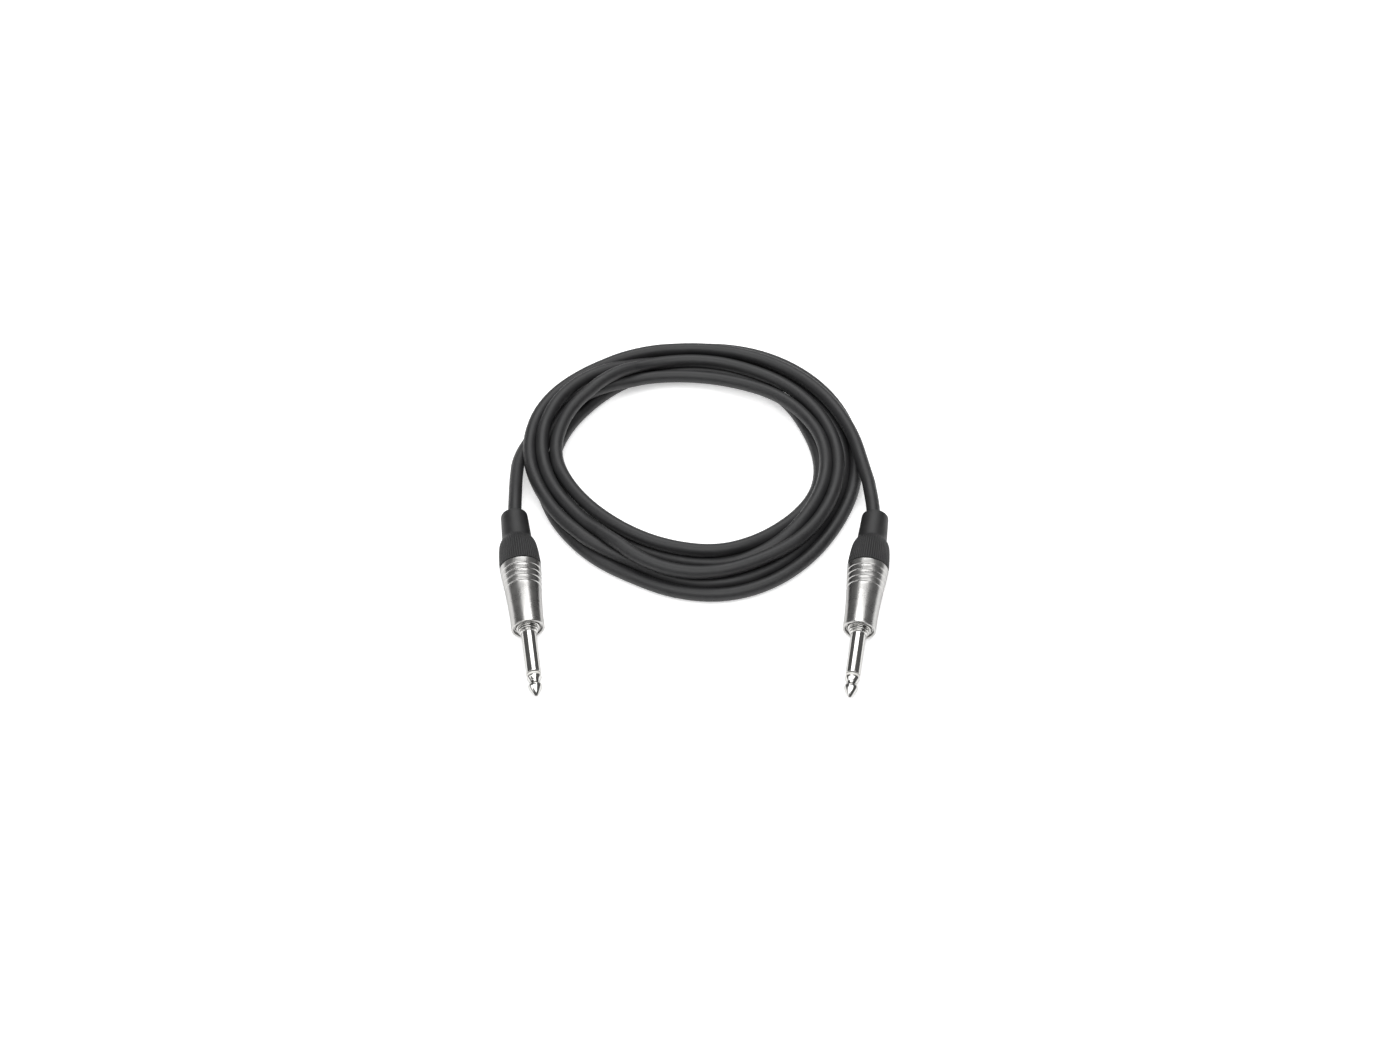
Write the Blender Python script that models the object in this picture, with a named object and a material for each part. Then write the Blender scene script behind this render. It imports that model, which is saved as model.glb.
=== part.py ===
"""Instrument cable: a coiled shielded lead with a 6.35 mm mono plug on each end.

Metres, +Z up. The cable lies on the surface z = 0, with the plug tips towards -Y. The origin is
on that surface, midway between the two plugs. Each plug is modelled about its own axis: local +Z
runs from the point of the tip (station 0) towards the cable, and radii and stations are in mm.
"""
from math import atan2, cos, radians, sin, tau

import bmesh
import bpy
from mathutils import Matrix, Vector

MM = 0.001
GAP = 0.3  # clearance between pieces that touch on the real plug, in mm

# Standard sizes, in mm
SHAFT_R = 3.175
CABLE_R = 3.0

# Plug stations along the axis, in mm from the point of the tip
TIP_END = 9.3
SLEEVE_START = 10.9
SHELL_FRONT = 32.9
STACK_START = 36.2
JACKET_START = 50.5
SPIGOT_START = 57.7
SHELL_REAR = 64.6
RIBS_END = 80.0
MOUTH = 91.6
TAIL_START = 86.3

# Plug radii, in mm
ROD_R = 1.1
SHELL_FRONT_R = 7.05
SHELL_REAR_R = 9.0
SHELL_BORE_R = 6.2
THREAD_BORE_R = 7.0
CABLE_BORE_R = CABLE_R + 0.35
FRONT_HOLE_R = 5.4
RIB_DEPTH = 0.4
GROOVE_DEPTH = 0.35
GROOVES = (61.5, 58.7, 55.9, 53.1)

# Where each plug lies: point of the tip in mm, and the yaw of its axis away from +Y in degrees
TIP_HEIGHT = 4.955
NOSE_DOWN = 3.6
PLUGS = {
    "left": ((-64.3, -45.1), 9.7),
    "right": ((63.3, -45.7), -10.3),
}

# Coil, in mm
COIL_CENTRE = (-1.1, 83.3)
COIL_OUTER_R = 77.5
COIL_INNER_R = 53.5
COIL_HEIGHT = 11.4
COIL_CHAMFER = 3.0

# Free ends of the cable, from the straight stretch behind the boot up to the coil, in mm
TAILS = {
    "left": ((-80.5, 60.0, 10.4), (-81.0, 68.5, 8.8)),
    "right": ((79.0, 60.0, 11.1), (78.2, 67.5, 10.8)),
}
STRAIGHT_END = 100.0
TAIL_STEP = 5.0

FINISHES = {
    "satin_nickel": ((0.62, 0.61, 0.59), 0.34, 1.0),
    "polished_nickel": ((0.74, 0.73, 0.71), 0.12, 1.0),
    "brass": ((0.72, 0.53, 0.25), 0.3, 1.0),
    "copper": ((0.76, 0.4, 0.26), 0.35, 1.0),
    "solder": ((0.66, 0.67, 0.68), 0.4, 1.0),
    "black_plastic": ((0.022, 0.022, 0.023), 0.45, 0.0),
    "black_jacket": ((0.028, 0.028, 0.029), 0.5, 0.0),
    "white_plastic": ((0.82, 0.81, 0.78), 0.45, 0.0),
    "clear_plastic": ((0.7, 0.72, 0.72), 0.25, 0.0),
    "fibre": ((0.33, 0.12, 0.07), 0.6, 0.0),
}


def clear_scene():
    for obj in list(bpy.data.objects):
        bpy.data.objects.remove(obj)


def finish(name, piece):
    """A Principled material of one of the finishes, for one piece."""
    colour, roughness, metallic = FINISHES[name]
    mat = bpy.data.materials.new(f"{piece}_{name}")
    mat.use_nodes = True
    shader = mat.node_tree.nodes["Principled BSDF"]
    shader.inputs["Base Color"].default_value = (*colour, 1.0)
    shader.inputs["Roughness"].default_value = roughness
    shader.inputs["Metallic"].default_value = metallic
    mat.diffuse_color = (*colour, 1.0)
    return mat


def add_object(name, data, parent, finish_name):
    obj = bpy.data.objects.new(name, data)
    bpy.context.scene.collection.objects.link(obj)
    obj.parent = parent
    if finish_name:
        data.materials.append(finish(finish_name, name))
    return obj


def add_mesh(name, bm, parent, finish_name):
    """Turns a bmesh into an object, with smooth faces and sharp edges where it turns a corner."""
    bmesh.ops.remove_doubles(bm, verts=bm.verts, dist=1e-7)
    bmesh.ops.recalc_face_normals(bm, faces=bm.faces)
    mesh = bpy.data.meshes.new(name)
    bm.to_mesh(mesh)
    bm.free()
    mesh.shade_smooth()
    mesh.set_sharp_from_angle(angle=radians(35))
    return add_object(name, mesh, parent, finish_name)


def turned_mesh(outline, sides):
    """Spins (radius, station) points about local Z. An outline that starts off the axis is closed."""
    bm = bmesh.new()
    points = [bm.verts.new((radius * MM, 0.0, station * MM)) for radius, station in outline]
    edges = [bm.edges.new(pair) for pair in zip(points, points[1:])]
    if outline[0][0] > 0.0:
        edges.append(bm.edges.new((points[-1], points[0])))
    bmesh.ops.spin(bm, geom=points + edges, cent=(0, 0, 0), axis=(0, 0, 1), angle=tau,
                   steps=sides, use_merge=True)
    return bm


def turned(name, outline, sides, parent, finish_name):
    return add_mesh(name, turned_mesh(outline, sides), parent, finish_name)


def box(name, low, high, parent, finish_name=None):
    """A block between two corners, in mm in the parent's frame."""
    low, high = Vector(low) * MM, Vector(high) * MM
    size = Matrix.Diagonal((*(high - low), 1.0))
    bm = bmesh.new()
    bmesh.ops.create_cube(bm, size=1.0, matrix=Matrix.Translation((low + high) / 2) @ size)
    return add_mesh(name, bm, parent, finish_name)


def combine(target, tool, operation):
    """Adds the tool to the target or cuts it away, and leaves the tool as a guide."""
    modifier = target.modifiers.new(tool.name, "BOOLEAN")
    modifier.operation = operation
    modifier.solver = "EXACT"
    modifier.object = tool
    tool.hide_render = True
    tool.display_type = "WIRE"


def bead(name, centre, radius, parent):
    """A small round joint of solder."""
    bm = bmesh.new()
    bmesh.ops.create_uvsphere(bm, u_segments=10, v_segments=6, radius=radius * MM,
                              matrix=Matrix.Translation(Vector(centre) * MM))
    return add_mesh(name, bm, parent, "solder")


def wire(name, points, radius, resolution, parent, finish_name):
    """A capped tube along points in mm."""
    curve = bpy.data.curves.new(name, "CURVE")
    curve.dimensions = "3D"
    curve.bevel_depth = radius * MM
    curve.bevel_resolution = resolution
    curve.use_fill_caps = True
    spline = curve.splines.new("POLY")
    spline.points.add(len(points) - 1)
    for place, point in zip(spline.points, points):
        place.co = (*(Vector(point) * MM), 1.0)
    return add_object(name, curve, parent, finish_name)


def smooth_route(points, step):
    """Points about a step apart on a smooth curve through the route's own points."""
    ends = [points[0] * 2 - points[1], *points, points[-1] * 2 - points[-2]]
    route = []
    for before, start, end, after in zip(ends, ends[1:], ends[2:], ends[3:]):
        count = max(1, round((end - start).length / step))
        for index in range(count):
            t = index / count
            bend = (before * -1 + start * 3 - end * 3 + after) * t ** 3
            lean = (before * 2 - start * 5 + end * 4 - after) * t ** 2
            route.append((start * 2 + (end - before) * t + lean + bend) / 2)
    return route + [points[-1]]


def plug_axis(side):
    """The point of the tip and the unit axis towards the cable."""
    (x, y), yaw = PLUGS[side]
    yaw, tilt = radians(yaw), radians(NOSE_DOWN)
    axis = Vector((-sin(yaw) * cos(tilt), cos(yaw) * cos(tilt), sin(tilt)))
    return Vector((x, y, TIP_HEIGHT)), axis


def plug_frame(side):
    """An empty at the point of the tip, with its +Z along the plug."""
    tip, axis = plug_axis(side)
    frame = bpy.data.objects.new(f"{side}_plug_axis", None)
    bpy.context.scene.collection.objects.link(frame)
    frame.location = tip * MM
    frame.rotation_euler = axis.to_track_quat("Z", "Y").to_euler()
    return frame


def contacts(side, frame):
    """The tip and its centre rod, the sleeve, and the insulation between them."""
    turned(f"{side}_tip_contact", (
        (0.0, 0.0), (0.55, 0.15), (2.7, 3.7), (2.95, 4.4), (2.95, 5.2), (2.2, 6.5),
        (2.2, 7.1), (3.0, 8.4), (SHAFT_R, 8.8), (SHAFT_R, TIP_END), (ROD_R, TIP_END),
        (ROD_R, 40.6), (2.0, 40.6), (2.0, 41.4), (0.0, 41.4)), 24, frame, "polished_nickel")
    turned(f"{side}_tip_insulator", (
        (ROD_R + GAP, TIP_END + GAP), (3.05, TIP_END + GAP),
        (3.05, SLEEVE_START - GAP), (ROD_R + GAP, SLEEVE_START - GAP)), 24, frame, "black_plastic")
    turned(f"{side}_sleeve_contact", (
        (2.3, SLEEVE_START), (SHAFT_R, SLEEVE_START), (SHAFT_R, 31.2), (4.0, 31.4), (4.0, 32.3),
        (5.0, 32.5), (5.0, 34.7), (5.9, 34.7), (5.9, STACK_START), (3.6, STACK_START),
        (3.6, STACK_START + 1.1), (2.3, STACK_START + 1.1)), 28, frame, "polished_nickel")
    turned(f"{side}_rod_insulator", (
        (ROD_R + GAP, SLEEVE_START), (2.0, SLEEVE_START),
        (2.0, STACK_START + 1.1), (ROD_R + GAP, STACK_START + 1.1)), 16, frame, "white_plastic")


def terminals(side, frame):
    """The stack behind the sleeve: ground terminal, insulating washer and tip terminal."""
    lug = STACK_START + GAP
    ground = turned(f"{side}_ground_terminal", (
        (3.9, lug), (5.6, lug), (5.6, lug + 0.6), (3.9, lug + 0.6)), 24, frame, "brass")
    combine(ground, box(f"{side}_ground_strap", (4.2, -1.5, lug + 0.15), (4.8, 1.5, 48.0), frame), "UNION")
    turned(f"{side}_rear_insulator", (
        (ROD_R + GAP, 37.6), (3.8, 37.6), (3.8, 39.4), (ROD_R + GAP, 39.4)), 20, frame, "fibre")
    tip = turned(f"{side}_tip_terminal", (
        (ROD_R + GAP, 39.7), (3.4, 39.7), (3.4, 40.3), (ROD_R + GAP, 40.3)), 20, frame, "brass")
    combine(tip, box(f"{side}_tip_strap", (-3.0, -1.1, 39.85), (-2.4, 1.1, 46.0), frame), "UNION")


def shell(side, frame):
    """The tapered metal barrel with its grip grooves, and the insulating tube inside it."""
    outer = [(SHELL_FRONT_R - 0.3, SHELL_FRONT), (SHELL_FRONT_R, SHELL_FRONT + 0.3),
             (7.3, 44.0), (7.65, 50.5)]
    for station in reversed(GROOVES):
        radius = 7.8 + (SHELL_REAR_R - 7.8) * (station - 52.0) / (SHELL_REAR - 52.0)
        outer += [(radius, station - 0.5), (radius - GROOVE_DEPTH, station - 0.3),
                  (radius - GROOVE_DEPTH, station + 0.3), (radius, station + 0.5)]
    outer += [(SHELL_REAR_R, SHELL_REAR - 0.3), (SHELL_REAR_R - 0.2, SHELL_REAR)]
    inner = [(THREAD_BORE_R, SHELL_REAR), (THREAD_BORE_R, 55.0), (SHELL_BORE_R, 54.5),
             (SHELL_BORE_R, 34.4), (FRONT_HOLE_R, 34.4), (FRONT_HOLE_R, SHELL_FRONT)]
    turned(f"{side}_barrel_shell", outer + inner, 32, frame, "satin_nickel")
    turned(f"{side}_shell_liner", ((5.4, 38.0), (5.9, 38.0), (5.9, 53.5), (5.4, 53.5)), 24, frame,
           "clear_plastic")


def chuck(side, frame):
    """The cable clamp: a ring with four tapered fingers."""
    base = 55.3
    clamp = turned(f"{side}_chuck", (
        (CABLE_R + GAP, base), (6.5, base), (6.5, base + 2.0), (4.95, base + 2.2),
        (4.4, 67.5), (CABLE_R + GAP, 67.5)), 24, frame, "white_plastic")
    slit, reach = 0.5, 8.0
    for name, half in (("x", (reach, slit)), ("y", (slit, reach))):
        cutter = box(f"{side}_chuck_slit_{name}", (-half[0], -half[1], base + 3.0),
                     (half[0], half[1], 68.5), frame)
        combine(clamp, cutter, "DIFFERENCE")


def boot(side, frame):
    """The ribbed bushing that screws into the barrel, with its smooth sleeve, in one piece."""
    sides = 48
    front = SHELL_REAR + GAP
    outline = ((5.3, SPIGOT_START), (6.7, SPIGOT_START), (6.7, front), (8.95, front),
               (8.6, 69.0), (8.1, 75.0), (7.6, RIBS_END - 1.2), (6.9, RIBS_END + 0.6),
               (6.15, RIBS_END + 2.2), (5.75, MOUTH - 1.2), (5.4, MOUTH - 0.3), (4.6, MOUTH),
               (CABLE_BORE_R, MOUTH), (CABLE_BORE_R, 69.0), (4.75, 68.2))
    bm = turned_mesh(outline, sides)
    for vert in bm.verts:
        radius = vert.co.to_2d().length
        ribbed = front - 0.1 < vert.co.z / MM < RIBS_END and radius / MM > 7.2
        place = round(atan2(vert.co.y, vert.co.x) * sides / tau)
        if ribbed and place % 2:
            vert.co.xy *= 1.0 - RIB_DEPTH * MM / radius
    add_mesh(f"{side}_boot", bm, frame, "black_plastic")


def cable_end(side, frame):
    """The cable inside the plug: jacket, insulated core, bared conductor, shield and solder."""
    turned(f"{side}_jacket_end", (
        (0.0, JACKET_START), (CABLE_R, JACKET_START),
        (CABLE_R, TAIL_START - GAP), (0.0, TAIL_START - GAP)), 16, frame, "black_jacket")
    turned(f"{side}_core_insulation", (
        (0.0, 45.5), (1.2, 45.5), (1.2, JACKET_START - GAP), (0.0, JACKET_START - GAP)), 12, frame,
        "white_plastic")
    wire(f"{side}_core_conductor", ((0, 0, 45.2), (-0.2, 0, 44.9), (-0.8, 0, 44.5), (-1.2, 0, 44.3)),
         0.35, 2, frame, "copper")
    wire(f"{side}_shield_pigtail", ((2.2, 0, 50.2), (2.35, 0, 49.6), (2.9, 0, 48.4), (3.1, 0, 47.7)),
         0.5, 2, frame, "copper")
    bead(f"{side}_tip_solder", (-1.6, 0, 43.2), 0.5, frame)
    bead(f"{side}_ground_solder", (3.3, 0, 46.4), 0.6, frame)


def tail(side):
    """The free stretch of cable between the boot and the coil."""
    tip, axis = plug_axis(side)
    straight = [tip + axis * station for station in (TAIL_START, MOUTH, STRAIGHT_END)]
    route = smooth_route(straight + [Vector(point) for point in TAILS[side]], TAIL_STEP)
    wire(f"cord_tail_{side}", route, CABLE_R, 3, None, "black_jacket")


def coil():
    """The outer shape of the wound turns."""
    inner, outer, cut = COIL_INNER_R, COIL_OUTER_R, COIL_CHAMFER
    ring = turned("cord_coil", (
        (inner, cut), (inner + cut, 0.0), (outer - cut, 0.0), (outer, cut),
        (outer, COIL_HEIGHT - cut), (outer - cut, COIL_HEIGHT), (inner + cut, COIL_HEIGHT),
        (inner, COIL_HEIGHT - cut)), 64, None, "black_jacket")
    ring.location = (COIL_CENTRE[0] * MM, COIL_CENTRE[1] * MM, 0.0)


def main():
    clear_scene()
    for side in PLUGS:
        frame = plug_frame(side)
        contacts(side, frame)
        terminals(side, frame)
        shell(side, frame)
        chuck(side, frame)
        boot(side, frame)
        cable_end(side, frame)
        tail(side)
    coil()


main()
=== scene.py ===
from math import atan2, cos, pi, radians, sin, tau

import bmesh
import bpy
import numpy as np
from mathutils import Matrix, Vector


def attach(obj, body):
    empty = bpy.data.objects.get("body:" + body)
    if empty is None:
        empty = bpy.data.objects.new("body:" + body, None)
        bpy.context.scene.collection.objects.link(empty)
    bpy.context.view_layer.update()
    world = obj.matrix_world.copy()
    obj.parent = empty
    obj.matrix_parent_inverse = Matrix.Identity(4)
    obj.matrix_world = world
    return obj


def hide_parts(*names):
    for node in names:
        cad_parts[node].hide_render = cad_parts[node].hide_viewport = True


mm = 0.001
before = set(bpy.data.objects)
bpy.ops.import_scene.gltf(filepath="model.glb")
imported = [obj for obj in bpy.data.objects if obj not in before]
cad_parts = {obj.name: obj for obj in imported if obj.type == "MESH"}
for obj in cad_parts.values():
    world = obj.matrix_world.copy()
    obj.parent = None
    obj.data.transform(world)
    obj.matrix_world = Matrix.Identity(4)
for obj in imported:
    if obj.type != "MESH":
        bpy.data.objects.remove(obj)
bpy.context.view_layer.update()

# where each plug lies, as in the part: point of the tip in mm, then the yaw of its axis
plugs = {
    "left": {"tip": (-64.3, -45.1, 4.955), "yaw": 9.7},
    "right": {"tip": (63.3, -45.7, 4.955), "yaw": -10.3},
    "noseDown": 3.6,
}

view = {"target": (0.00237, 0.0523, 0.0), "distance": 0.7, "elevation": 50, "lens": 39.96}


def addCamera():
    data = bpy.data.cameras.new("camera")
    data.lens = view["lens"]
    data.clip_start = 0.01
    camera = bpy.data.objects.new("camera", data)
    bpy.context.scene.collection.objects.link(camera)
    tilt = radians(view["elevation"])
    camera.location = Vector(view["target"]) + Vector((0, -cos(tilt), sin(tilt))) * view["distance"]
    camera.rotation_euler = (pi / 2 - tilt, 0, 0)
    bpy.context.scene.camera = camera


def plugPlace(side):
    yaw, tilt = radians(plugs[side]["yaw"]), radians(plugs["noseDown"])
    axis = Vector((-sin(yaw) * cos(tilt), cos(yaw) * cos(tilt), sin(tilt)))
    turn = axis.to_track_quat("Z", "Y").to_matrix().to_4x4()
    return Matrix.Translation(Vector(plugs[side]["tip"]) * mm) @ turn


addCamera()

# The cable, in mm. Each turn starts at the left and runs over the top, the right and the bottom:
# (angle round the coil, distance from its centre, height of the cable's middle).
cable = {
    "radius": 3.0,
    "roundness": 8,
    "centre": (-1.1, 80.5),
    "step": 3,  # degrees round the coil, and mm along the free ends
    "smoothing": 6,
    "give": 0.3,  # how far strands may press together before they are pushed apart
    "pushRounds": 60,
    "push": 0.3,
    "pushSpread": 7,
    "leastApart": 0.1,  # keeps two strands at one place from dividing by nothing
    "leftTail": [
        (-78.81, 39.8, 10.37), (-79.5, 45.0, 10.75), (-79.9, 50.5, 11.0), (-80.2, 56, 10.7),
        (-80.5, 61, 10.1), (-81.0, 69, 8.6), (-81.2, 76, 7.4), (-81.1, 82, 6.4), (-80.2, 88.4, 5.2),
        (-78.6, 94.2, 4.2)],
    "rightTail": [
        (77.4, 72.9, 10.3), (78.3, 66.8, 10.8), (78.7, 61.5, 11.0), (79.1, 55.5, 11.1),
        (79.25, 50.0, 11.05), (79.05, 44.3, 10.75), (78.7, 39.04, 10.37)],
    "turns": [
        [(159, 77, 3.2), (145, 77.5, 3), (125, 78.5, 3), (100, 78.5, 3), (83, 80.7, 3),
         (66, 82.2, 3), (45, 81.5, 3), (27, 79.3, 3), (10, 76.7, 3), (-8, 74.1, 3),
         (-25, 72.1, 3), (-45, 72.4, 3), (-62, 73.5, 3), (-78, 73.3, 3), (-95, 70.4, 3),
         (-112, 66.8, 3), (-130, 66, 3), (-150, 67.6, 3), (-165, 68.6, 3)],
        [(180, 70.3, 3), (165, 71.3, 3.4), (150, 69.5, 6.4), (138, 66.3, 8.6), (125, 62.6, 8.2),
         (107, 60, 6.3), (90, 58.2, 5.8), (68, 57, 7), (45, 58.8, 8.6), (27, 60.4, 8.8),
         (8, 61.5, 9.3), (-12, 60.6, 9.3), (-30, 59.7, 8.8), (-45, 59.6, 7.6), (-60, 58.6, 5),
         (-75, 56.2, 3.6), (-90, 54, 3.2), (-112, 52, 3), (-135, 53.3, 3), (-157, 58.4, 3)],
        [(180, 64.4, 3), (155, 64.6, 3), (138, 64.4, 3), (122, 65.5, 3), (105, 66, 3),
         (88, 65.6, 3), (66, 65, 3), (45, 62.8, 3), (27, 59.7, 3), (8, 59, 3),
         (-12, 58, 3.5), (-30, 55.2, 4.5), (-45, 53.5, 5.7), (-60, 53.2, 7), (-75, 53.2, 8),
         (-90, 51.4, 8.6), (-112, 49.7, 8.6), (-135, 50.4, 8.6), (-157, 54.5, 8.6),
         (-170, 58.4, 8.6)],
        [(177, 62.8, 8.8), (165, 64.4, 9.8), (150, 64.6, 12.5), (138, 63.3, 14), (125, 64, 13.2),
         (107, 66, 9.6), (90, 66.5, 8.6), (66, 65.8, 8.6), (45, 66.6, 8.6), (22, 66.9, 8.6),
         (0, 66.6, 8.6), (-25, 65.8, 8.7), (-45, 65.3, 8.8), (-62, 64.1, 8.8), (-78, 64.7, 9),
         (-90, 64.7, 9.3), (-103, 63.4, 10.2), (-118, 61.1, 11.3), (-135, 59.6, 9.6),
         (-150, 60.1, 8.6), (-165, 64, 8.6)],
        [(178, 68.7, 8.7), (165, 72.2, 10), (150, 73.1, 12), (138, 72.9, 12), (125, 70.8, 11.2),
         (107, 70.5, 5.6), (90, 71.3, 3.1), (66, 72.4, 3), (45, 72.8, 3), (22, 72.4, 3),
         (0, 69.6, 3), (-15, 67.6, 3), (-30, 66.2, 3), (-45, 66.6, 3), (-62, 67.2, 3),
         (-78, 66.9, 3), (-90, 65.4, 3), (-103, 63.4, 4.3), (-118, 61.5, 6), (-135, 64.3, 8),
         (-150, 67, 8.5), (-165, 70, 8.6)],
        [(180, 74.3, 8.7), (165, 77.2, 9), (150, 79, 8.7), (135, 77.5, 8.6), (120, 76, 8.6),
         (105, 74.9, 8.6), (90, 74.5, 8.6), (66, 74.8, 8.7), (45, 75.4, 8.9), (27, 75.3, 9.2),
         (15, 75.6, 9.6), (6, 76.4, 10)],
    ],
}


def eased(stations, values, at):
    # a smooth curve through uneven stations, level with its neighbours at each
    slopes = np.diff(values) / np.diff(stations)
    lean = np.concatenate(([slopes[0]], slopes[:-1], [slopes[-1]]))
    gaps = np.diff(stations)
    lean[1:-1] = (slopes[:-1] * gaps[1:] + slopes[1:] * gaps[:-1]) / (gaps[1:] + gaps[:-1])
    index = np.clip(np.searchsorted(stations, at, side="right") - 1, 0, len(gaps) - 1)
    gap, t = gaps[index], (at - stations[index]) / gaps[index]
    rise = 3 * t**2 - 2 * t**3
    return ((1 - rise) * values[index] + rise * values[index + 1]
            + gap * (t**3 - 2 * t**2 + t) * lean[index] + gap * (t**3 - t**2) * lean[index + 1])


def pressedApart(reach, height, perTurn):
    # where two turns pass the same angle they push each other away until they only press together
    thick = cable["radius"] * 2 - cable["give"]
    spread = cable["pushSpread"]
    for _ in range(cable["pushRounds"]):
        moveOut, moveUp = np.zeros_like(reach), np.zeros_like(height)
        for turns in range(1, len(reach) // perTurn + 1):
            shift = perTurn * turns
            out, up = reach[shift:] - reach[:-shift], height[shift:] - height[:-shift]
            apart = np.maximum(np.hypot(out, up), cable["leastApart"])
            push = np.clip(thick - apart, 0, None) * cable["push"] / apart
            for move, way in ((moveOut, out), (moveUp, up)):
                move[shift:] += push * way
                move[:-shift] -= push * way
        for values, move in ((reach, moveOut), (height, moveUp)):
            padded = np.pad(move, spread // 2, mode="edge")
            soft = np.convolve(padded, np.ones(spread) / spread, "valid")
            values[2:-2] += soft[2:-2]
        height[:] = np.maximum(height, cable["radius"])
    return reach, height


def coilPoints():
    stations = np.array([(360 * turn + 180 - angle, reach, height)
                         for turn, places in enumerate(cable["turns"])
                         for angle, reach, height in places], float)
    at = np.arange(stations[0, 0], stations[-1, 0] + 0.1, cable["step"])
    reach = eased(stations[:, 0], stations[:, 1], at)
    height = eased(stations[:, 0], stations[:, 2], at)
    for values in (reach, height):
        for _ in range(cable["smoothing"]):
            values[1:-1] = (values[:-2] + 2 * values[1:-1] + values[2:]) / 4
    reach, height = pressedApart(reach, height, 360 // cable["step"])
    angle = np.radians(180 - at)
    x, y = cable["centre"]
    return np.stack([x + reach * np.cos(angle), y + reach * np.sin(angle), height], 1)


def smoothRoute(points, step):
    # points about a step apart on a smooth curve through the ones given
    points = [np.array(point, float) for point in points]
    ends = [2 * points[0] - points[1], *points, 2 * points[-1] - points[-2]]
    route = []
    for before, start, end, after in zip(ends, ends[1:], ends[2:], ends[3:]):
        count = max(1, round(float(np.linalg.norm(end - start)) / step))
        for t in (index / count for index in range(count)):
            bend = (after - before + 3 * (start - end)) * t**3
            lean = (2 * before - 5 * start + 4 * end - after) * t**2
            route.append((2 * start + (end - before) * t + lean + bend) / 2)
    return route + [points[-1]]


def cableRoute():
    coil = coilPoints()
    left = smoothRoute(cable["leftTail"] + [coil[0], coil[1]], cable["step"])[:-2]
    right = smoothRoute([coil[-2], coil[-1]] + cable["rightTail"], cable["step"])[2:]
    return np.vstack([left, coil, right])


def addTube(name, points, radius):
    curve = bpy.data.curves.new(name, "CURVE")
    curve.dimensions = "3D"
    curve.bevel_depth = radius * mm
    curve.bevel_resolution = cable["roundness"]
    curve.use_fill_caps = True
    spline = curve.splines.new("POLY")
    spline.points.add(len(points) - 1)
    for place, point in zip(spline.points, points):
        place.co = (*(Vector(point) * mm), 1)
    swept = bpy.data.objects.new(name + "Swept", curve)
    mesh = bpy.data.meshes.new_from_object(swept)
    mesh.name = name
    mesh.shade_smooth()
    bpy.data.objects.remove(swept)
    tube = bpy.data.objects.new(name, mesh)
    bpy.context.scene.collection.objects.link(tube)
    return tube


route = cableRoute()
cord = addTube("instrumentCable", route, cable["radius"])
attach(cord, "cable")
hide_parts("cord_coil", "cord_tail_left", "cord_tail_right")


# Surface effects that several finishes share, each a node group.


def addNode(tree, kind, inputs=None, **settings):
    node = tree.nodes.new(kind)
    for name, value in settings.items():
        setattr(node, name, value)
    for name, value in (inputs or {}).items():
        if isinstance(value, bpy.types.NodeSocket):
            tree.links.new(value, node.inputs[name])
        else:
            node.inputs[name].default_value = value
    return node


def addMath(tree, operation, *values):
    return addNode(tree, "ShaderNodeMath", dict(enumerate(values)), operation=operation).outputs[0]


def mapped(tree, value, low, high, toLow=0.0, toHigh=1.0):
    return addNode(tree, "ShaderNodeMapRange", {
        "Value": value, "From Min": low, "From Max": high, "To Min": toLow, "To Max": toHigh,
    }).outputs["Result"]


def newGroup(name, inputs, outputs):
    tree = bpy.data.node_groups.new(name, "ShaderNodeTree")
    for label, value in inputs.items():
        kind = "NodeSocketVector" if value is None else "NodeSocketFloat"
        socket = tree.interface.new_socket(name=label, in_out="INPUT", socket_type=kind)
        if value is not None:
            socket.default_value = value
    for label in outputs:
        tree.interface.new_socket(name=label, in_out="OUTPUT", socket_type="NodeSocketFloat")
    return tree, tree.nodes.new("NodeGroupInput").outputs, tree.nodes.new("NodeGroupOutput").inputs


def grainGroup():
    # fine grain of the surface and the slow patches that lie over it
    tree, given, made = newGroup("surfaceGrain", {"Place": None, "Grain Scale": 4000.0,
                                                  "Patch Scale": 120.0}, ("Grain", "Patches"))
    grain = addNode(tree, "ShaderNodeTexNoise", {
        "Vector": given["Place"], "Scale": given["Grain Scale"], "Detail": 3.0, "Roughness": 0.6})
    patches = addNode(tree, "ShaderNodeTexNoise", {
        "Vector": given["Place"], "Scale": given["Patch Scale"], "Detail": 4.0, "Roughness": 0.55,
        "Distortion": 0.4})
    tree.links.new(grain.outputs["Fac"], made["Grain"])
    tree.links.new(patches.outputs["Fac"], made["Patches"])
    return tree


def linesGroup():
    # fine lines round the axis from the lathe, or along it from rubbing
    tree, given, made = newGroup("toolLines", {"Place": None, "Across": 200.0, "Along": 9000.0},
                                 ("Lines",))
    parts = addNode(tree, "ShaderNodeSeparateXYZ", {"Vector": given["Place"]}).outputs
    flat = [addMath(tree, "MULTIPLY", parts[axis], given["Across"]) for axis in "XY"]
    tall = addMath(tree, "MULTIPLY", parts["Z"], given["Along"])
    place = addNode(tree, "ShaderNodeCombineXYZ", {"X": flat[0], "Y": flat[1], "Z": tall})
    lines = addNode(tree, "ShaderNodeTexNoise", {
        "Vector": place.outputs[0], "Scale": 1.0, "Detail": 3.0, "Roughness": 0.65})
    tree.links.new(lines.outputs["Fac"], made["Lines"])
    return tree


edgeWear = {"starts": 0.995, "full": 0.82, "broken": (0.35, 0.65)}


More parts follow.
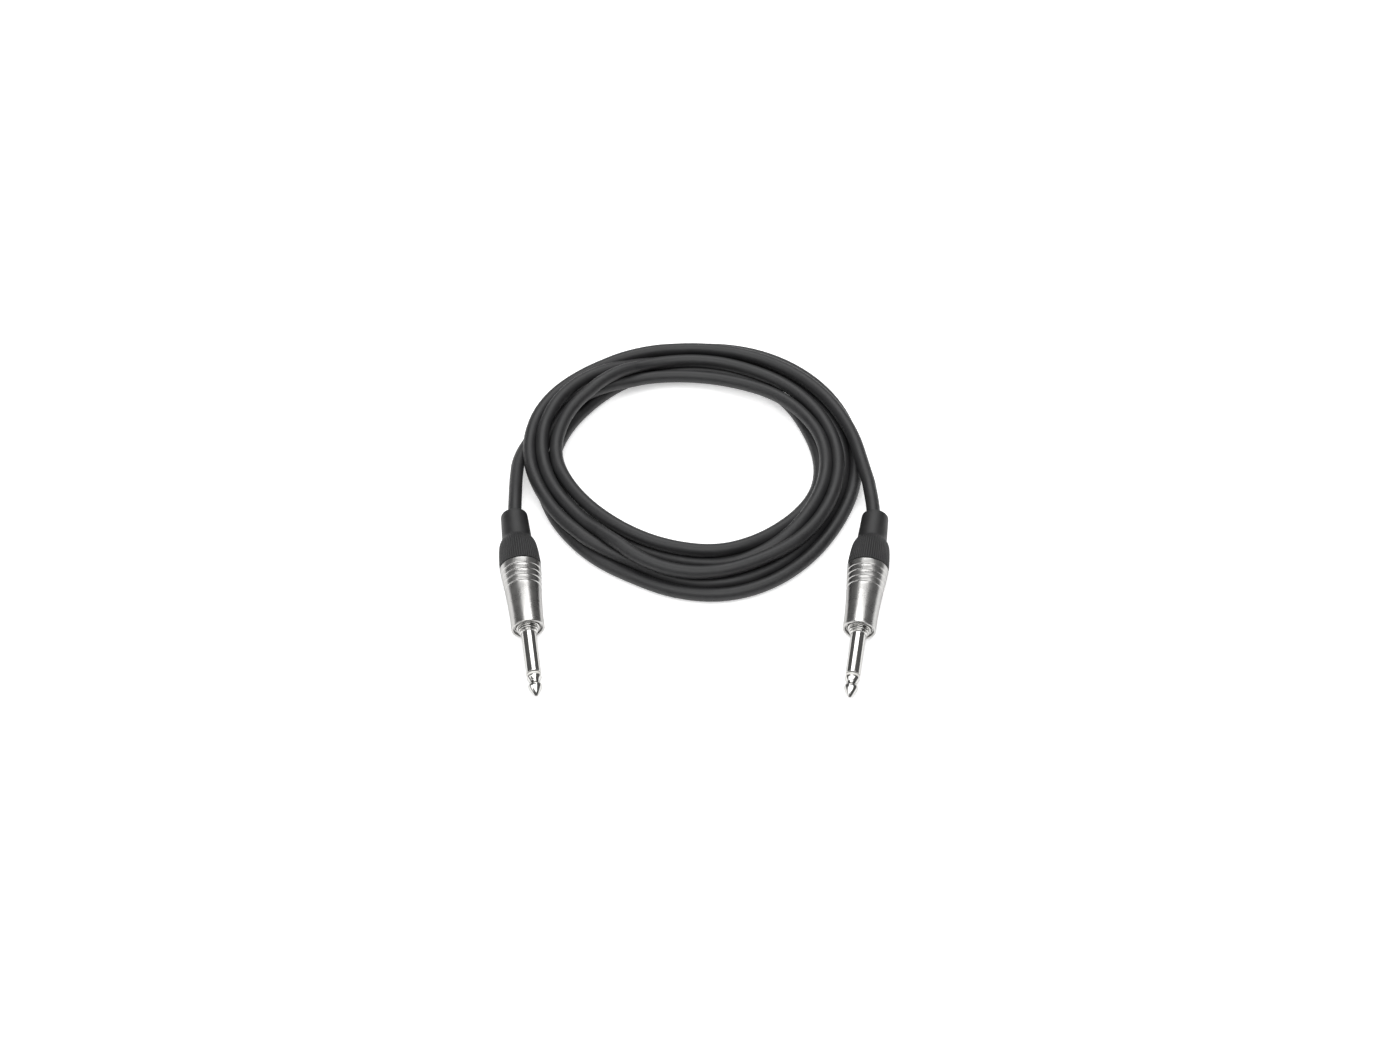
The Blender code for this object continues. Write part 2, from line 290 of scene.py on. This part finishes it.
def wearGroup():
    # worn edges, broken up so that the wear isn't even
    tree, given, made = newGroup("edgeWear", {"Place": None, "Width": 0.0003, "Breakup": 900.0},
                                 ("Wear",))
    bevelled = addNode(tree, "ShaderNodeBevel", {"Radius": given["Width"]}, samples=4)
    surface = addNode(tree, "ShaderNodeNewGeometry")
    facing = addNode(tree, "ShaderNodeVectorMath", {
        0: bevelled.outputs[0], 1: surface.outputs["Normal"]},
        operation="DOT_PRODUCT").outputs["Value"]
    edge = mapped(tree, facing, edgeWear["starts"], edgeWear["full"])
    noise = addNode(tree, "ShaderNodeTexNoise", {
        "Vector": given["Place"], "Scale": given["Breakup"], "Detail": 3.0})
    broken = mapped(tree, noise.outputs["Fac"], *edgeWear["broken"])
    tree.links.new(addMath(tree, "MULTIPLY", edge, broken), made["Wear"])
    return tree


dust = {"bareShare": 0.82, "settles": (0.1, 0.9)}


def dustGroup():
    # sparse pale specks that settle on the upper side
    takes = {"Place": None, "Speck Scale": 700.0, "Share": 0.12}
    tree, given, made = newGroup("settledDust", takes, ("Dust",))
    cells = addNode(tree, "ShaderNodeTexVoronoi", {
        "Vector": given["Place"], "Scale": given["Speck Scale"], "Randomness": 1.0})
    near = mapped(tree, cells.outputs["Distance"], given["Share"], 0.0)
    pick = addNode(tree, "ShaderNodeSeparateColor", {"Color": cells.outputs["Color"]}).outputs[0]
    few = addMath(tree, "GREATER_THAN", pick, dust["bareShare"])
    up = addNode(tree, "ShaderNodeSeparateXYZ", {
        "Vector": addNode(tree, "ShaderNodeNewGeometry").outputs["Normal"]}).outputs["Z"]
    settled = mapped(tree, up, *dust["settles"])
    speck = addMath(tree, "MULTIPLY", near, few)
    tree.links.new(addMath(tree, "MULTIPLY", speck, settled), made["Dust"])
    return tree


effects = {"grain": grainGroup(), "lines": linesGroup(), "wear": wearGroup(), "dust": dustGroup()}

# Each finish: its colour and worn colour, its roughness from smooth to dull, the scale and depth of
# its grain and patches, its lines' scales across and along the axis and their depth, how wide its
# worn edges are, how much dust it holds, and for a metal its tint at the edge of view.
finishes = {
    "black_jacket": {
        "colour": (0.013, 0.013, 0.014), "worn": (0.036, 0.036, 0.037), "rough": (0.46, 0.58),
        "grain": (5200, 0.00003), "patches": (90, 0.00025), "lines": None, "wearWidth": 0.0,
        "dust": 0.35},
    "black_plastic": {
        "colour": (0.008, 0.008, 0.0085), "worn": (0.035, 0.035, 0.036), "rough": (0.46, 0.6),
        "grain": (6500, 0.00003), "patches": (260, 0.00004), "lines": None, "wearWidth": 0.00035,
        "dust": 0.2},
    "satin_nickel": {
        "colour": (0.49, 0.485, 0.475), "worn": (0.72, 0.715, 0.7), "rough": (0.24, 0.34),
        "grain": (9000, 0.000006), "patches": (180, 0.0), "lines": (260, 14000, 0.00001),
        "wearWidth": 0.0003, "dust": 0.0, "metal": 1.0, "edge": (0.5, 0.5, 0.5)},
    "polished_nickel": {
        "colour": (0.58, 0.575, 0.56), "worn": (0.7, 0.695, 0.68), "rough": (0.07, 0.2),
        "grain": (9000, 0.000001), "patches": (220, 0.0), "lines": (9000, 90, 0.000002),
        "wearWidth": 0.0003, "dust": 0.0, "metal": 1.0, "edge": (0.5, 0.5, 0.5)},
    "white_plastic": {
        "colour": (0.8, 0.79, 0.76), "worn": (0.7, 0.68, 0.63), "rough": (0.38, 0.5),
        "grain": (6000, 0.00002), "patches": (300, 0.00003), "lines": None, "wearWidth": 0.0002,
        "dust": 0.0},
    "clear_plastic": {
        "colour": (0.72, 0.74, 0.74), "worn": (0.6, 0.61, 0.6), "rough": (0.12, 0.28),
        "grain": (5000, 0.00001), "patches": (300, 0.00002), "lines": None, "wearWidth": 0.0002,
        "dust": 0.0},
    "fibre": {
        "colour": (0.3, 0.1, 0.055), "worn": (0.42, 0.17, 0.1), "rough": (0.55, 0.7),
        "grain": (3500, 0.00004), "patches": (500, 0.00002), "lines": None, "wearWidth": 0.0002,
        "dust": 0.0},
    "brass": {
        "colour": (0.68, 0.48, 0.2), "worn": (0.86, 0.67, 0.36), "rough": (0.22, 0.38),
        "grain": (7000, 0.000006), "patches": (300, 0.0), "lines": (5000, 200, 0.000004),
        "wearWidth": 0.0002, "dust": 0.0, "metal": 1.0},
    "copper": {
        "colour": (0.7, 0.34, 0.2), "worn": (0.86, 0.52, 0.36), "rough": (0.24, 0.4),
        "grain": (7000, 0.000006), "patches": (400, 0.0), "lines": (8000, 400, 0.00001),
        "wearWidth": 0.0, "dust": 0.0, "metal": 1.0},
    "solder": {
        "colour": (0.6, 0.61, 0.62), "worn": (0.74, 0.75, 0.76), "rough": (0.26, 0.46),
        "grain": (4000, 0.00001), "patches": (900, 0.00005), "lines": None, "wearWidth": 0.0,
        "dust": 0.0, "metal": 1.0},
}


# how much each effect counts in every finish, and the spans that the patches and the roughness
# are stretched from
shares = {
    "patches": (0.3, 0.75),
    "wornPatches": 0.3,
    "patchRough": 0.75,
    "grainRough": 0.25,
    "lineRough": 0.4,
    "wearPolish": 0.25,
    "rough": (0.3, 0.7),
}


def addEffect(tree, name, inputs):
    node = addNode(tree, "ShaderNodeGroup", node_tree=effects[name])
    for label, value in inputs.items():
        if isinstance(value, bpy.types.NodeSocket):
            tree.links.new(value, node.inputs[label])
        else:
            node.inputs[label].default_value = value
    return node.outputs


def makeFinish(name, side):
    # one procedural finish, with its pattern turned to the axis of the plug on that side
    look = finishes[name]
    material = bpy.data.materials.new(f"{name}_{side}")
    material.use_nodes = True
    tree = material.node_tree
    shader = tree.nodes["Principled BSDF"]
    shader.inputs["Metallic"].default_value = look.get("metal", 0.0)
    shader.inputs["Specular Tint"].default_value = (*look.get("edge", (1, 1, 1)), 1)
    material.diffuse_color = (*look["colour"], 1)
    place = addNode(tree, "ShaderNodeTexCoord").outputs["Object"]
    if side in plugs:
        upright = plugPlace(side).inverted()
        place = addNode(tree, "ShaderNodeMapping", {
            "Vector": place, "Location": upright.to_translation(),
            "Rotation": upright.to_euler()}).outputs[0]
    (grainScale, grainDepth), (patchScale, patchDepth) = look["grain"], look["patches"]
    grain = addEffect(tree, "grain", {"Place": place, "Grain Scale": grainScale,
                                      "Patch Scale": patchScale})
    worn = mapped(tree, grain["Patches"], *shares["patches"], 0.0, shares["wornPatches"])
    rough = addMath(tree, "ADD", addMath(tree, "MULTIPLY", grain["Patches"], shares["patchRough"]),
                    addMath(tree, "MULTIPLY", grain["Grain"], shares["grainRough"]))
    if look["wearWidth"]:
        wear = addEffect(tree, "wear", {"Place": place, "Width": look["wearWidth"]})["Wear"]
        worn = addMath(tree, "MAXIMUM", worn, wear)
        polish = addMath(tree, "MULTIPLY", wear, shares["wearPolish"])
        rough = addMath(tree, "SUBTRACT", rough, polish)
    if look["dust"]:
        specks = addEffect(tree, "dust", {"Place": place})["Dust"]
        specks = addMath(tree, "MULTIPLY", specks, look["dust"])
        worn = addMath(tree, "MAXIMUM", worn, specks)
        rough = addMath(tree, "ADD", rough, specks)
    bumps = [(grain["Grain"], grainDepth), (grain["Patches"], patchDepth)]
    if look["lines"]:
        across, along, depth = look["lines"]
        scales = {"Place": place, "Across": across, "Along": along}
        lines = addEffect(tree, "lines", scales)["Lines"]
        rough = addMath(tree, "ADD", addMath(tree, "MULTIPLY", rough, 1 - shares["lineRough"]),
                        addMath(tree, "MULTIPLY", lines, shares["lineRough"]))
        bumps.append((lines, depth))
    colour = addNode(tree, "ShaderNodeMix", data_type="RGBA")
    tree.links.new(worn, colour.inputs["Factor"])
    colour.inputs[6].default_value = (*look["colour"], 1)  # A and B of the colour kind, then Result
    colour.inputs[7].default_value = (*look["worn"], 1)
    tree.links.new(colour.outputs[2], shader.inputs["Base Color"])
    rough = mapped(tree, rough, *shares["rough"], *look["rough"])
    tree.links.new(rough, shader.inputs["Roughness"])
    normal = None
    for height, depth in bumps:
        if depth:
            inputs = {"Height": height, "Distance": depth, "Strength": 1.0}
            bump = addNode(tree, "ShaderNodeBump", inputs if normal is None else
                           {**inputs, "Normal": normal})
            normal = bump.outputs[0]
    tree.links.new(normal, shader.inputs["Normal"])
    return material


madeFinishes = {}


def finishOf(name, side):
    if (name, side) not in madeFinishes:
        madeFinishes[name, side] = makeFinish(name, side)
    return madeFinishes[name, side]


cord.data.materials.clear()
cord.data.materials.append(finishOf("black_jacket", "coil"))

# Turned pieces of the plugs. Outlines are in mm: (distance from the axis, distance along it from
# the tip's point).

corners = {
    "leastTurn": 12,  # degrees
    "mostOfEdge": 0.42,
    "lead": 1.15,  # a point just outside each end of an arc keeps the flats flat
    "arc": (0, 0.25, 0.5, 0.75, 1),
}


def softened(outline, cut, closed):
    # rounds every corner of an outline with a short arc and keeps its flats flat
    points = [Vector(point) for point in outline]
    count = len(points)
    soft = []
    for index, corner in enumerate(points):
        if not closed and index in (0, count - 1):
            soft.append(corner)
            continue
        before, after = points[index - 1], points[(index + 1) % count]
        turn = (corner - before).angle(after - corner, 0)
        if turn < radians(corners["leastTurn"]):
            soft.append(corner)
            continue
        most = corners["mostOfEdge"]
        reach = min(cut, most * (before - corner).length, most * (after - corner).length)
        start = corner + (before - corner).normalized() * reach
        end = corner + (after - corner).normalized() * reach
        soft.append(corner + (start - corner) * corners["lead"])
        for t in corners["arc"]:
            soft.append(start * (1 - t) ** 2 + corner * 2 * t * (1 - t) + end * t**2)
        soft.append(corner + (end - corner) * corners["lead"])
    return soft


weldDistance = 1e-7


def spunMesh(outline, sides, closed):
    # spins an outline in the XZ plane right round the axis
    bm = bmesh.new()
    verts = [bm.verts.new((point[0] * mm, 0, point[1] * mm)) for point in outline]
    pairs = list(zip(verts, verts[1:])) + ([(verts[-1], verts[0])] if closed else [])
    edges = [bm.edges.new(pair) for pair in pairs]
    bmesh.ops.spin(bm, geom=verts + edges, cent=(0, 0, 0), axis=(0, 0, 1), angle=tau, steps=sides,
                   use_merge=True, use_duplicate=False)
    bmesh.ops.remove_doubles(bm, verts=bm.verts, dist=weldDistance)
    bmesh.ops.recalc_face_normals(bm, faces=bm.faces)
    return bm


def addPiece(name, bm, side, body, finish, *nodes):
    # puts a piece that was made round the Z axis on its plug, in place of its CAD nodes
    bmesh.ops.transform(bm, matrix=plugPlace(side), verts=bm.verts)
    mesh = bpy.data.meshes.new(name)
    bm.to_mesh(mesh)
    bm.free()
    mesh.shade_smooth()
    mesh.materials.append(finishOf(finish, side))
    piece = bpy.data.objects.new(name, mesh)
    bpy.context.scene.collection.objects.link(piece)
    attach(piece, body)
    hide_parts(*(f"{side}_{node}" for node in nodes))
    return piece


tip = {
    "sides": 96,
    "soft": 0.12,
    "outline": [
        (0, 0), (0.32, 0.03), (0.58, 0.17), (0.85, 0.5), (1.5, 1.5), (2.15, 2.6), (2.66, 3.6),
        (2.92, 4.3), (2.95, 4.9), (2.78, 5.45), (2.4, 6.15), (2.2, 6.55), (2.2, 7.05),
        (2.45, 7.45), (3.0, 8.4), (3.17, 8.75), (3.17, 9.3), (1.1, 9.3), (1.1, 40.6), (2.0, 40.6),
        (1.9, 41.2), (1.3, 41.4), (0, 41.4)],
}

sleeve = {
    "sides": 96,
    "soft": 0.14,
    "outline": [
        (2.3, 10.9), (3.0, 10.9), (3.175, 11.08), (3.175, 30.7), (3.6, 30.8), (3.75, 31.0),
        (3.75, 31.35), (3.45, 31.5), (3.45, 31.7), (4.2, 31.8), (4.3, 32.0), (4.3, 32.6),
        (4.0, 32.75), (4.0, 33.1), (4.9, 33.2), (5.0, 33.35), (5.0, 34.7), (5.9, 34.7),
        (5.9, 36.2), (3.6, 36.2), (3.6, 37.3), (2.3, 37.3)],
}

ringInsulator = {
    "sides": 72,
    "soft": 0.1,
    "outline": [(1.4, 9.6), (2.9, 9.6), (3.05, 9.75), (3.05, 10.45), (2.9, 10.6), (1.4, 10.6)],
}

barrel = {
    "sides": 128,
    "soft": 0.16,
    "front": [
        (5.4, 34.4), (6.0, 34.3), (6.0, 33.1), (6.2, 32.92), (6.8, 32.92), (7.05, 33.2),
        (7.02, 35.5), (7.04, 38.5), (7.13, 41.5), (7.3, 44.5), (7.5, 47.8), (7.68, 50.6)],
    "grooves": (53.1, 55.9, 58.7, 61.5),
    "grooveDepth": 0.35,
    "grooveHalf": 0.42,
    "grooveBed": 0.35,
    "grooveRim": 0.6,
    "rimLean": (-0.02, 0.1),
    "slope": ((52.0, 7.78), (64.6, 9.0)),
    "back": [(8.98, 64.3), (8.78, 64.6), (7.0, 64.6), (7.0, 55.0), (6.2, 54.5), (6.2, 34.4)],
}


def barrelOutline():
    (start, low), (end, high) = barrel["slope"]
    line = [tuple(point) for point in barrel["front"]]
    half, depth, rim = barrel["grooveHalf"], barrel["grooveDepth"], barrel["grooveRim"]
    bed, (drop, rise) = half * barrel["grooveBed"], barrel["rimLean"]
    for groove in barrel["grooves"]:
        radius = low + (high - low) * (groove - start) / (end - start)
        line += [(radius + drop, groove - half - rim), (radius, groove - half),
                 (radius - depth, groove - bed), (radius - depth, groove + bed),
                 (radius, groove + half), (radius + rise, groove + half + rim)]
    return line + barrel["back"]


boot = {
    "ribs": 52,
    "perRib": 8,
    "ribDepth": 0.45,
    "ribRoundness": 4,
    "ribRunIn": 0.5,
    "core": 6,  # nothing nearer to the axis is ribbed
    "ribbed": (65.2, 76.6, 79.8),
    "soft": 0.3,
    "outline": [
        (5.3, 57.7), (6.35, 57.7), (6.7, 58.05), (6.7, 64.9), (8.6, 64.9), (8.95, 65.25),
        (8.95, 66.6), (8.9, 67.8), (8.84, 69.0), (8.76, 70.2), (8.67, 71.4), (8.56, 72.6),
        (8.44, 73.8), (8.3, 74.9), (8.13, 75.9), (7.9, 76.8), (7.6, 77.6), (7.25, 78.3),
        (6.9, 78.9), (6.62, 79.5), (6.47, 80.2), (6.41, 81.2), (6.36, 82.4), (6.3, 84.0),
        (6.2, 86.0), (6.1, 88.4), (6.02, 90.4), (5.95, 91.9), (5.8, 92.8), (5.5, 93.2),
        (5.2, 93.2), (5.0, 92.8), (4.7, 91.6), (4.4, 90.0), (4.1, 88.0), (3.8, 85.5),
        (3.55, 83.0), (3.38, 80.0), (3.35, 69.0), (4.75, 68.2)],
}


def ribbedMesh():
    # the valleys between the ribs run out into the shoulder
    outline = softened(boot["outline"], boot["soft"], True)
    bm = spunMesh(outline, boot["ribs"] * boot["perRib"], True)
    front, fade, end = boot["ribbed"]
    start = front - boot["ribRunIn"] / 2
    for vert in bm.verts:
        station, radius = vert.co.z / mm, vert.co.to_2d().length / mm
        if station < start or station > end or radius < boot["core"]:
            continue
        phase = (atan2(vert.co.y, vert.co.x) / tau * boot["ribs"]) % 1
        depth = boot["ribDepth"] * (2 * phase - 1) ** boot["ribRoundness"]
        depth *= min(1, (station - start) / boot["ribRunIn"])
        depth *= min(1, (end - station) / (end - fade))
        vert.co.xy *= 1 - depth / radius
    return bm


for side in ("left", "right"):
    for name, piece, finish, nodes in (
            ("Tip", tip, "polished_nickel", ("tip_contact",)),
            ("RingInsulator", ringInsulator, "white_plastic", ("tip_insulator",)),
            ("Sleeve", sleeve, "polished_nickel", ("sleeve_contact",))):
        closed = piece["outline"][0][0] > 0
        bm = spunMesh(softened(piece["outline"], piece["soft"], closed), piece["sides"], closed)
        addPiece(side + name, bm, side, "cable", finish, *nodes)
    bm = spunMesh(softened(barrelOutline(), barrel["soft"], True), barrel["sides"], True)
    addPiece(side + "Barrel", bm, side, "cable", "satin_nickel", "barrel_shell")
    addPiece(side + "Boot", ribbedMesh(), side, f"{side}_bushing", "black_plastic", "boot")
print("plugs turned")

# the pieces inside the plugs keep their CAD shape and get their real finish
innerFinishes = {
    "rod_insulator": "white_plastic", "ground_terminal": "brass", "rear_insulator": "fibre",
    "tip_terminal": "brass", "shell_liner": "clear_plastic", "chuck": "white_plastic",
    "jacket_end": "black_jacket", "core_insulation": "white_plastic", "core_conductor": "copper",
    "shield_pigtail": "copper", "tip_solder": "solder", "ground_solder": "solder",
    "tip_contact": "polished_nickel", "tip_insulator": "black_plastic",
    "sleeve_contact": "polished_nickel", "barrel_shell": "satin_nickel", "boot": "black_plastic",
}
for name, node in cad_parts.items():
    side = name.split("_")[0]
    finish = innerFinishes.get(name[len(side) + 1:], "black_jacket")
    for place in node.material_slots:
        place.material = finishOf(finish, side if side in plugs else "coil")
print("finished", len(madeFinishes), "materials")

studio = {
    "aim": (0, 0.05, 0),
    "floorSize": 6.0,
    "floorDrop": 0.0002,
    "floorRoughness": 0.9,
    "floorColour": (0.93, 0.93, 0.93),
    "floorGlow": 0.5,
    "surround": (0.13, 0.13, 0.13),
    "lamps": {
        "overhead": {"place": (0.0, -0.35, 1.35), "size": (1.6, 1.1), "power": 17},
        "backTop": {"place": (0.0, 0.95, 1.1), "size": (1.15, 0.8), "power": 11},
        "frontLeft": {"place": (-1.1, -0.5, 0.8), "size": (0.5, 0.9), "power": 3},
    },
}


def addStudio():
    scene = bpy.context.scene
    scene.view_settings.view_transform = "Standard"
    world = bpy.data.worlds.new("surround")
    world.use_nodes = True
    world.node_tree.nodes["Background"].inputs["Color"].default_value = (*studio["surround"], 1)
    scene.world = world
    for name, lamp in studio["lamps"].items():
        data = bpy.data.lights.new(name, "AREA")
        data.shape = "RECTANGLE"
        data.size, data.size_y = lamp["size"]
        data.energy = lamp["power"]
        light = bpy.data.objects.new(name, data)
        scene.collection.objects.link(light)
        light.location = lamp["place"]
        aim = Vector(studio["aim"]) - light.location
        light.rotation_euler = aim.to_track_quat("-Z", "Y").to_euler()
    bm = bmesh.new()
    bmesh.ops.create_grid(bm, x_segments=2, y_segments=2, size=studio["floorSize"] / 2)
    mesh = bpy.data.meshes.new("floor")
    bm.to_mesh(mesh)
    bm.free()
    paint = bpy.data.materials.new("floorPaint")
    paint.use_nodes = True
    shader = paint.node_tree.nodes["Principled BSDF"]
    shader.inputs["Base Color"].default_value = (*studio["floorColour"], 1)
    shader.inputs["Roughness"].default_value = studio["floorRoughness"]
    shader.inputs["Emission Color"].default_value = (*studio["floorColour"], 1)
    shader.inputs["Emission Strength"].default_value = studio["floorGlow"]
    mesh.materials.append(paint)
    floor = bpy.data.objects.new("floor", mesh)
    scene.collection.objects.link(floor)
    floor.location.z = -studio["floorDrop"]


addStudio()
print("studio ready")
